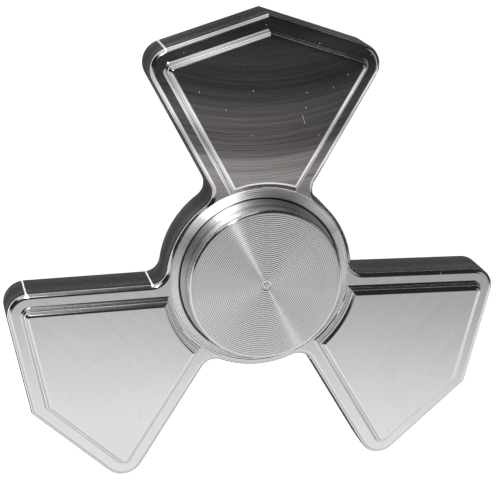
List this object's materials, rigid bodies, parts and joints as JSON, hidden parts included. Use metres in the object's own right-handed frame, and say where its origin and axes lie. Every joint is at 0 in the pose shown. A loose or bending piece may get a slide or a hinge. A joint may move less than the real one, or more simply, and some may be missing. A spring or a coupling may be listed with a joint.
{
  "type": "fidget spinner",
  "caption": "Flat metal spinner with wedge arms round a hub; a sealed ball bearing lets it turn freely between two round finger caps.",
  "frame": {"origin": "centre of the lower finger cap's outer face, which the spinner rests on; the spin axis passes through it", "axes": "+Z along the spin axis, out of the upper finger cap; +Y along the first arm"},
  "size_m": [0.0646, 0.0607, 0.0122],
  "materials": {
    "machined_body": "fly-cut faces, bright milled edges",
    "turned_caps": "fine concentric turning rings, polished side",
    "bearing_steel": "ground and polished",
    "ball_steel": "mirror polished",
    "cage_steel": "pressed, satin",
    "shield_steel": "pressed, satin",
    "clip_steel": "drawn wire"
  },
  "bodies": {
    "held_core": {"top_cap": "turned_caps", "bottom_cap": "turned_caps", "bearing_inner_race": "bearing_steel"},
    "rotor": {"spinner_body": "machined_body", "bearing_outer_race": "bearing_steel", "shield_top": "shield_steel", "shield_bottom": "shield_steel", "shield_clip_top": "clip_steel", "shield_clip_bottom": "clip_steel"},
    "cage": {"ball_cage": "cage_steel"},
    "ball_1": {"ball_1": "ball_steel"},
    "ball_2": {"ball_2": "ball_steel"},
    "ball_3": {"ball_3": "ball_steel"},
    "ball_4": {"ball_4": "ball_steel"},
    "ball_5": {"ball_5": "ball_steel"},
    "ball_6": {"ball_6": "ball_steel"},
    "ball_7": {"ball_7": "ball_steel"},
    "ball_8": {"ball_8": "ball_steel"},
    "ball_9": {"ball_9": "ball_steel"},
    "ball_10": {"ball_10": "ball_steel"}
  },
  "joints": [
    {"name": "spin", "type": "hinge", "parent": "held_core", "child": "rotor", "pos_m": [0, 0, 0.0061], "axis": [0, 0, 1], "continuous": true},
    {"name": "cage_orbit", "type": "hinge", "parent": "held_core", "child": "cage", "pos_m": [0, 0, 0.0061], "axis": [0, 0, 1], "continuous": true},
    {"name": "ball_1_roll", "type": "hinge", "parent": "cage", "child": "ball_1", "pos_m": [0, 0.00476, 0.0061], "axis": [0, 0, 1], "continuous": true},
    {"name": "ball_2_roll", "type": "hinge", "parent": "cage", "child": "ball_2", "pos_m": [0.0028, 0.00385, 0.0061], "axis": [0, 0, 1], "continuous": true},
    {"name": "ball_3_roll", "type": "hinge", "parent": "cage", "child": "ball_3", "pos_m": [0.00453, 0.00147, 0.0061], "axis": [0, 0, 1], "continuous": true},
    {"name": "ball_4_roll", "type": "hinge", "parent": "cage", "child": "ball_4", "pos_m": [0.00453, -0.00147, 0.0061], "axis": [0, 0, 1], "continuous": true},
    {"name": "ball_5_roll", "type": "hinge", "parent": "cage", "child": "ball_5", "pos_m": [0.0028, -0.00385, 0.0061], "axis": [0, 0, 1], "continuous": true},
    {"name": "ball_6_roll", "type": "hinge", "parent": "cage", "child": "ball_6", "pos_m": [0, -0.00476, 0.0061], "axis": [0, 0, 1], "continuous": true},
    {"name": "ball_7_roll", "type": "hinge", "parent": "cage", "child": "ball_7", "pos_m": [-0.0028, -0.00385, 0.0061], "axis": [0, 0, 1], "continuous": true},
    {"name": "ball_8_roll", "type": "hinge", "parent": "cage", "child": "ball_8", "pos_m": [-0.00453, -0.00147, 0.0061], "axis": [0, 0, 1], "continuous": true},
    {"name": "ball_9_roll", "type": "hinge", "parent": "cage", "child": "ball_9", "pos_m": [-0.00453, 0.00147, 0.0061], "axis": [0, 0, 1], "continuous": true},
    {"name": "ball_10_roll", "type": "hinge", "parent": "cage", "child": "ball_10", "pos_m": [-0.0028, 0.00385, 0.0061], "axis": [0, 0, 1], "continuous": true}
  ],
  "couplings": [
    {"joint": "cage_orbit", "follows": "spin", "ratio": 0.58336},
    {"joint": "ball_1_roll", "follows": "spin", "ratio": 2.9157},
    {"joint": "ball_2_roll", "follows": "spin", "ratio": 2.9157},
    {"joint": "ball_3_roll", "follows": "spin", "ratio": 2.9157},
    {"joint": "ball_4_roll", "follows": "spin", "ratio": 2.9157},
    {"joint": "ball_5_roll", "follows": "spin", "ratio": 2.9157},
    {"joint": "ball_6_roll", "follows": "spin", "ratio": 2.9157},
    {"joint": "ball_7_roll", "follows": "spin", "ratio": 2.9157},
    {"joint": "ball_8_roll", "follows": "spin", "ratio": 2.9157},
    {"joint": "ball_9_roll", "follows": "spin", "ratio": 2.9157},
    {"joint": "ball_10_roll", "follows": "spin", "ratio": 2.9157}
  ]
}
